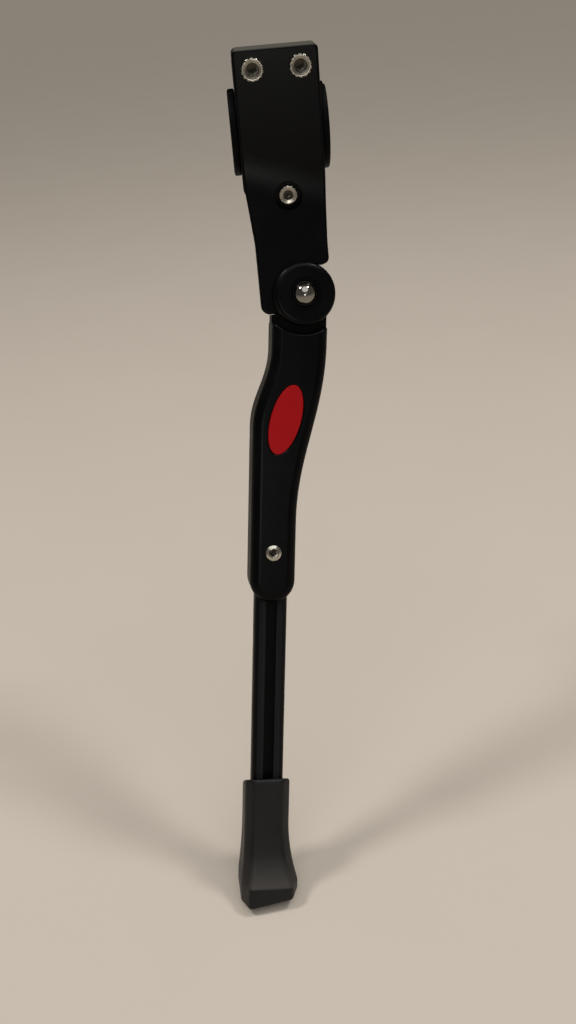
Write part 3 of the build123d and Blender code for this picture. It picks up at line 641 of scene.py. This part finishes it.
def cut_thread(radius, pitch, length):
    """Model a threaded shank that hangs below the XY plane and reaches into the head above."""
    turns = ceil(length / pitch) + 2
    bpy.ops.object.select_all(action="DESELECT")
    bpy.ops.mesh.primitive_circle_add(vertices=3, radius=radius, fill_type="NOTHING")
    shank = bpy.context.object
    bpy.ops.object.mode_set(mode="EDIT")
    # One upright line with a zigzag of crests and roots is turned into the thread.
    pick("VERT", lambda corner: True)
    bpy.ops.mesh.merge(type="CENTER")
    bpy.ops.transform.translate(value=(radius, 0, pitch))
    bpy.ops.mesh.extrude_vertices_move(
        TRANSFORM_OT_translate={"value": (0, 0, -turns * pitch)}
    )
    bpy.ops.mesh.select_all(action="SELECT")
    bpy.ops.mesh.subdivide(number_cuts=turns - 1)
    bpy.ops.mesh.subdivide(number_cuts=1)
    pick("VERT", lambda corner: round(corner.co.z / (pitch / 2)) % 2)
    bpy.ops.transform.translate(value=(-THREAD_DEPTH * pitch, 0, 0))
    bpy.ops.object.mode_set(mode="OBJECT")
    helix = shank.modifiers.new("helix", "SCREW")
    helix.angle = 2 * pi
    helix.screw_offset = pitch
    helix.steps = helix.render_steps = THREAD_STEPS
    bpy.ops.object.modifier_apply(modifier=helix.name)
    bpy.ops.object.mode_set(mode="EDIT")
    bpy.ops.mesh.select_all(action="SELECT")
    bpy.ops.mesh.remove_doubles(threshold=MERGE)
    # Both ends are cut off flat: the upper one inside the head, the lower one at the tip.
    for end, outwards in ((THREAD_IN_HEAD, 1), (-length, -1)):
        bpy.ops.mesh.select_all(action="SELECT")
        bpy.ops.mesh.bisect(
            plane_co=(0, 0, end), plane_no=(0, 0, outwards), use_fill=True, clear_outer=True,
            threshold=ON_CUT,
        )
    bpy.ops.mesh.select_all(action="SELECT")
    bpy.ops.mesh.normals_make_consistent(inside=False)
    bpy.ops.object.mode_set(mode="OBJECT")
    return shank


def cap_screw(node, head_radius, head_height, thread_radius, pitch, flats, sizes, finishes):
    """Model the socket cap screw that stands for a node, its head towards -Y."""
    low, high = (Vector(corner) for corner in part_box(node))
    head = knurled_head(head_radius, head_height, flats, sizes)
    socket_edge = flats / sqrt(3) + 0.2 * MM
    # Painted shade: the socket's walls and floor get the dark zinc.
    give_finish(head, finishes, lambda face: (
        middle(face).xy.length < socket_edge and middle(face).z > 0.1 * head_height
    ))
    shank = cut_thread(thread_radius, pitch, high.y - low.y - head_height)
    shank.data.materials.append(finishes[0])
    bpy.ops.object.select_all(action="DESELECT")
    head.select_set(True)
    apply_boolean(head, "union", "UNION", shank)
    bpy.ops.object.mode_set(mode="EDIT")
    bpy.ops.mesh.select_all(action="SELECT")
    bpy.ops.mesh.dissolve_degenerate(threshold=SLIVER)
    # A corner with two edges lies on a nearly straight line, and would only make slivers.
    pick("VERT", lambda corner: len(corner.link_edges) == 2)
    bpy.ops.mesh.dissolve_verts()
    bpy.ops.object.mode_set(mode="OBJECT")
    bpy.ops.object.shade_smooth_by_angle(angle=SMOOTH_ANGLE)
    centre = (low + high) / 2
    head.rotation_euler = (pi / 2, 0, 0)
    head.location = (centre.x, low.y + head_height, centre.z)
    bpy.ops.object.transform_apply(location=True, rotation=True, scale=True)
    return head


def crowned_screw(node, sizes, finishes):
    """Model the crowned set screw that stands for a node, its face along the pivot axis."""
    corners = [corner.co for corner in frame["nodes"][node].data.vertices]
    across = PIVOT_AXIS.orthogonal().normalized()
    axes = (across, PIVOT_AXIS.cross(across), PIVOT_AXIS)
    spans = [
        [step([corner.dot(axis) for corner in corners]) for step in (min, max)] for axis in axes
    ]
    length = spans[2][1] - spans[2][0]
    bpy.ops.object.select_all(action="DESELECT")
    side = length - sizes.lock_crown - sizes.lock_tip_length
    bpy.ops.mesh.primitive_cylinder_add(
        vertices=CROWN_SIDES, radius=sizes.lock_radius, depth=side,
        location=(0, 0, -sizes.lock_crown - side / 2),
    )
    screw = bpy.context.object
    bpy.ops.object.transform_apply(location=True, rotation=True, scale=True)
    bpy.ops.object.mode_set(mode="EDIT")
    pick("FACE", lambda face: face.normal.z < -0.9)
    bpy.ops.mesh.inset(thickness=sizes.lock_radius - sizes.lock_tip_radius)
    bpy.ops.mesh.extrude_region_move(
        TRANSFORM_OT_translate={"value": (0, 0, -sizes.lock_tip_length)}
    )
    pick("FACE", lambda face: face.normal.z > 0.9)
    # The crown is an arc of a ball, in rings from the rim to the middle.
    ball = (sizes.lock_radius ** 2 + sizes.lock_crown ** 2) / (2 * sizes.lock_crown)
    reaches = [
        sizes.lock_radius * (1 - ring / (CROWN_RINGS + 1)) for ring in range(CROWN_RINGS + 1)
    ]
    for outer, inner in zip(reaches, reaches[1:]):
        rise = sqrt(ball ** 2 - inner ** 2) - sqrt(ball ** 2 - outer ** 2)
        bpy.ops.mesh.extrude_region_move(TRANSFORM_OT_translate={"value": (0, 0, rise)})
        bpy.ops.transform.resize(
            value=(inner / outer, inner / outer, 1), center_override=(0, 0, 0)
        )
    bpy.ops.object.mode_set(mode="OBJECT")
    hex_socket(screw, sizes.lock_flats, sizes.lock_socket_depth, 0)
    bpy.ops.object.select_all(action="DESELECT")
    screw.select_set(True)
    # The socket's walls stand half its flats from the middle, and only its floor gets the painted
    # shade.
    floor_edge = 0.45 * sizes.lock_flats
    give_finish(screw, finishes, lambda face: (
        middle(face).xy.length < floor_edge and middle(face).z > -0.9 * length
    ))
    bpy.ops.object.shade_smooth_by_angle(angle=SMOOTH_ANGLE)
    screw.rotation_euler = UPWARDS.rotation_difference(PIVOT_AXIS).to_euler()
    screw.location = sum(
        (axis * sum(span) / 2 for axis, span in zip(axes, spans)), PIVOT_AXIS * length / 2
    )
    bpy.ops.object.transform_apply(location=True, rotation=True, scale=True)
    return screw


def stand_for(piece, node, body):
    """Name a piece and let it take a node's place on its body."""
    piece.name = "dressed_" + node
    piece.data.name = piece.name
    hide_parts(node)
    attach(piece, body)


def soft_copy(node, mesh_size, ease_steps):
    """Copy a node as a moulding whose edges are rounded as rubber's are."""
    bpy.ops.object.select_all(action="DESELECT")
    piece = bpy.data.objects.new("moulding", frame["nodes"][node].data.copy())
    bpy.context.collection.objects.link(piece)
    piece.data.materials.clear()
    piece.select_set(True)
    bpy.context.view_layer.objects.active = piece
    bpy.ops.object.mode_set(mode="EDIT")
    pick("VERT", lambda corner: True)
    bpy.ops.mesh.remove_doubles(threshold=MERGE)
    bpy.ops.object.mode_set(mode="OBJECT")
    grain = piece.modifiers.new("grain", "REMESH")
    grain.mode = "VOXEL"
    grain.voxel_size = mesh_size
    ease = piece.modifiers.new("ease", "SMOOTH")
    ease.factor = 0.5
    ease.iterations = ease_steps
    bpy.ops.object.modifier_apply(modifier=grain.name)
    bpy.ops.object.modifier_apply(modifier=ease.name)
    bpy.ops.object.shade_smooth()
    return piece


class KICKSTAND_OT_castings(bpy.types.Operator):
    """Coat the clamp's two jaws and the upper leg"""

    bl_idname = "kickstand.castings"
    bl_label = "Castings"

    def execute(self, context):
        coat = powder_coat(context.scene.kickstand_look)
        finish_nodes(coat, "bracket", "rear_jaw", "upper_leg")
        return {"FINISHED"}


class KICKSTAND_OT_lower_leg(bpy.types.Operator):
    """Anodise the lower leg"""

    bl_idname = "kickstand.lower_leg"
    bl_label = "Lower leg"

    def execute(self, context):
        finish_nodes(anodised_tube(context.scene.kickstand_look), "lower_leg")
        return {"FINISHED"}


class KICKSTAND_OT_screws(bpy.types.Operator):
    """Cut the two clamp screws, the lower screw and the lock screw"""

    bl_idname = "kickstand.screws"
    bl_label = "Screws"

    def execute(self, context):
        sizes = context.scene.kickstand_screws
        look = context.scene.kickstand_look
        bright = zinc_plate("bright_zinc_plate", look.zinc_colour, look.zinc_cloud)
        darker_zinc = zinc_plate("darker_zinc_plate", look.screw_colour, look.screw_cloud)
        socket_shade = zinc_plate("socket_shade_zinc", look.socket_shade_colour, look.socket_shade_cloud)
        screw = cap_screw(
            "clamp_bolt_front", sizes.clamp_head_radius, sizes.clamp_head_height,
            sizes.clamp_thread_radius, sizes.clamp_pitch, sizes.clamp_flats, sizes,
            (darker_zinc, socket_shade),
        )
        bpy.ops.object.duplicate(linked=False)
        twin = context.object
        twin.location = (
            Vector(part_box("clamp_bolt_rear")[0]) - Vector(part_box("clamp_bolt_front")[0])
        )
        bpy.ops.object.transform_apply(location=True, rotation=True, scale=True)
        stand_for(screw, "clamp_bolt_front", "bracket")
        stand_for(twin, "clamp_bolt_rear", "bracket")
        lower = cap_screw(
            "lower_bolt", sizes.lower_head_radius, sizes.lower_head_height,
            sizes.lower_thread_radius, sizes.lower_pitch, sizes.lower_flats, sizes,
            (darker_zinc, socket_shade),
        )
        stand_for(lower, "lower_bolt", "bracket")
        lock = crowned_screw("lock_screw", sizes, (bright, socket_shade))
        stand_for(lock, "lock_screw", "upper_leg")
        return {"FINISHED"}


class KICKSTAND_OT_hardware(bpy.types.Operator):
    """Plate the nuts, washers, detent and pivot pin"""

    bl_idname = "kickstand.hardware"
    bl_label = "Hardware"

    def execute(self, context):
        look = context.scene.kickstand_look
        finish_nodes(
            zinc_plate("zinc_plated_fittings", look.zinc_colour, look.zinc_cloud),
            "clamp_nut_front", "clamp_nut_rear", "lower_nut", "pivot_washer", "detent_plunger",
            "detent_spring",
        )
        finish_nodes(chrome_plate(look), "pivot_pin")
        finish_nodes(natural_nylon(look), "thrust_washer_front", "thrust_washer_rear")
        return {"FINISHED"}


class KICKSTAND_OT_rubber(bpy.types.Operator):
    """Mould the foot and the clamp pads with soft edges"""

    bl_idname = "kickstand.rubber"
    bl_label = "Rubber"

    def execute(self, context):
        look = context.scene.kickstand_look
        sizes = context.scene.kickstand_rubber
        foot = soft_copy("foot", sizes.mesh_size, sizes.foot_ease)
        corners = [corner.co for corner in frame["nodes"]["foot"].data.vertices]
        front = max(corner.dot(PIVOT_AXIS) for corner in corners)
        foremost = [corner for corner in corners if corner.dot(PIVOT_AXIS) > front - 0.05 * MM]
        crease = max(corner.dot(LEG_UP) for corner in foremost)
        slope = PIVOT_AXIS + sizes.slope_rate * LEG_UP
        skin = front + sizes.slope_rate * crease
        # Painted sheen on the front slope above the tread: fading upwards, from its lower crease,
        # and only near its skin, so not on the sides.
        ledge = (
            (LEG_UP, crease + sizes.ledge_height, crease),
            (LEG_UP, crease - 0.5 * MM, crease + 0.3 * MM),
            (slope, skin - 2.2 * MM, skin - MM),
        )
        foot.data.materials.append(moulded_rubber(
            "foot_rubber", look.foot_colour, look.foot_dust, grain_mm=0.45, shine=0.3,
            ledge=ledge, ledge_sheen_colour=look.ledge_sheen,
        ))
        stand_for(foot, "foot", "lower_leg")
        rubber = moulded_rubber(
            "pad_rubber", look.pad_colour, look.pad_dust, grain_mm=0.4, shine=0.04
        )
        for node, body in (("front_pad", "bracket"), ("rear_pad", "rear_jaw")):
            pad = soft_copy(node, sizes.mesh_size, sizes.pad_ease)
            pad.data.materials.append(rubber)
            stand_for(pad, node, body)
        return {"FINISHED"}


class KICKSTAND_OT_oval(bpy.types.Operator):
    """Finish the red oval"""

    bl_idname = "kickstand.oval"
    bl_label = "Oval"

    def execute(self, context):
        finish_nodes(red_plastic(context.scene.kickstand_look), "oval_badge")
        return {"FINISHED"}


def softbox(name, place, aim, size, power, colour):
    """Add one square lamp that faces a point."""
    bpy.ops.object.light_add(type="AREA", location=place)
    lamp = bpy.context.object
    lamp.name = name
    lamp.data.size = size
    lamp.data.energy = power
    lamp.data.color = colour
    lamp.rotation_euler = (Vector(place) - Vector(aim)).to_track_quat("Z", "Y").to_euler()


class KICKSTAND_OT_stage(bpy.types.Operator):
    """Lay the pale floor, hang the lamps and place the camera"""

    bl_idname = "kickstand.stage"
    bl_label = "Stage"

    def execute(self, context):
        scene = context.scene
        stage = scene.kickstand_stage
        bpy.ops.object.select_all(action="DESELECT")
        bpy.ops.mesh.primitive_circle_add(
            vertices=96, radius=stage.floor_radius, fill_type="NGON",
            location=(0, 0, CAD_BOX[0][2]),
        )
        floor = context.object
        floor.name = "pale_floor"
        floor.data.materials.append(matt_floor(scene.kickstand_look))
        aim = Vector(stage.target)
        right, forward, up = stage.lamp_place
        for name, side in (("left_lamp", -right), ("right_lamp", right)):
            softbox(
                name, (side, forward, up), aim, stage.lamp_size, stage.lamp_power / 2,
                stage.lamp_colour,
            )
        softbox(
            "window_lamp", stage.window_place, stage.window_aim, stage.window_size,
            stage.window_power, stage.lamp_colour,
        )
        bpy.ops.object.light_add(type="SUN")
        broad = context.object
        broad.name = "broad_lamp"
        broad.data.energy = stage.broad_level
        broad.data.angle = stage.broad_angle
        broad.rotation_euler = Vector(stage.broad_from).to_track_quat("Z", "Y").to_euler()
        scene.world = scene.world or bpy.data.worlds.new("room")
        scene.world.use_nodes = True
        sky = scene.world.node_tree.nodes["Background"]
        sky.inputs["Color"].default_value = stage.room_colour
        sky.inputs["Strength"].default_value = stage.room_level
        scene.view_settings.view_transform = "Standard"
        away = Vector((
            sin(stage.azimuth) * cos(stage.elevation),
            -cos(stage.azimuth) * cos(stage.elevation),
            sin(stage.elevation),
        ))
        bpy.ops.object.camera_add(location=aim + away * stage.distance)
        camera = context.object
        turn = away.to_track_quat("Z", "Y").to_matrix() @ Matrix.Rotation(-stage.roll, 3, "Z")
        camera.rotation_euler = turn.to_euler()
        camera.data.sensor_width = 36.0
        camera.data.lens = camera.data.sensor_width * stage.focal_pixels / stage.long_side
        camera.data.clip_start = 0.01
        scene.camera = camera
        return {"FINISHED"}


class KICKSTAND_PT_panel(bpy.types.Panel):
    """List the dressing steps in the sidebar"""

    bl_idname = "KICKSTAND_PT_panel"
    bl_label = "Kickstand"
    bl_space_type = "VIEW_3D"
    bl_region_type = "UI"
    bl_category = "Kickstand"

    def draw(self, context):
        for operator in STEPS:
            self.layout.operator(operator.bl_idname)


STEPS = (
    KICKSTAND_OT_castings, KICKSTAND_OT_lower_leg, KICKSTAND_OT_screws, KICKSTAND_OT_hardware,
    KICKSTAND_OT_rubber, KICKSTAND_OT_oval, KICKSTAND_OT_stage,
)
CLASSES = (
    KickstandLook, KickstandScrews, KickstandRubber, KickstandStage, *STEPS, KICKSTAND_PT_panel,
)


def register():
    for item in CLASSES:
        bpy.utils.register_class(item)
    bpy.types.Scene.kickstand_look = PointerProperty(type=KickstandLook)
    bpy.types.Scene.kickstand_screws = PointerProperty(type=KickstandScrews)
    bpy.types.Scene.kickstand_rubber = PointerProperty(type=KickstandRubber)
    bpy.types.Scene.kickstand_stage = PointerProperty(type=KickstandStage)


def unregister():
    del bpy.types.Scene.kickstand_stage
    del bpy.types.Scene.kickstand_rubber
    del bpy.types.Scene.kickstand_screws
    del bpy.types.Scene.kickstand_look
    for item in reversed(CLASSES):
        bpy.utils.unregister_class(item)


def main():
    """Dress the stand step by step."""
    register()
    bpy.ops.kickstand.castings()
    bpy.ops.kickstand.lower_leg()
    bpy.ops.kickstand.screws()
    bpy.ops.kickstand.hardware()
    bpy.ops.kickstand.rubber()
    bpy.ops.kickstand.oval()
    bpy.ops.kickstand.stage()


if __name__ == "__main__":
    main()
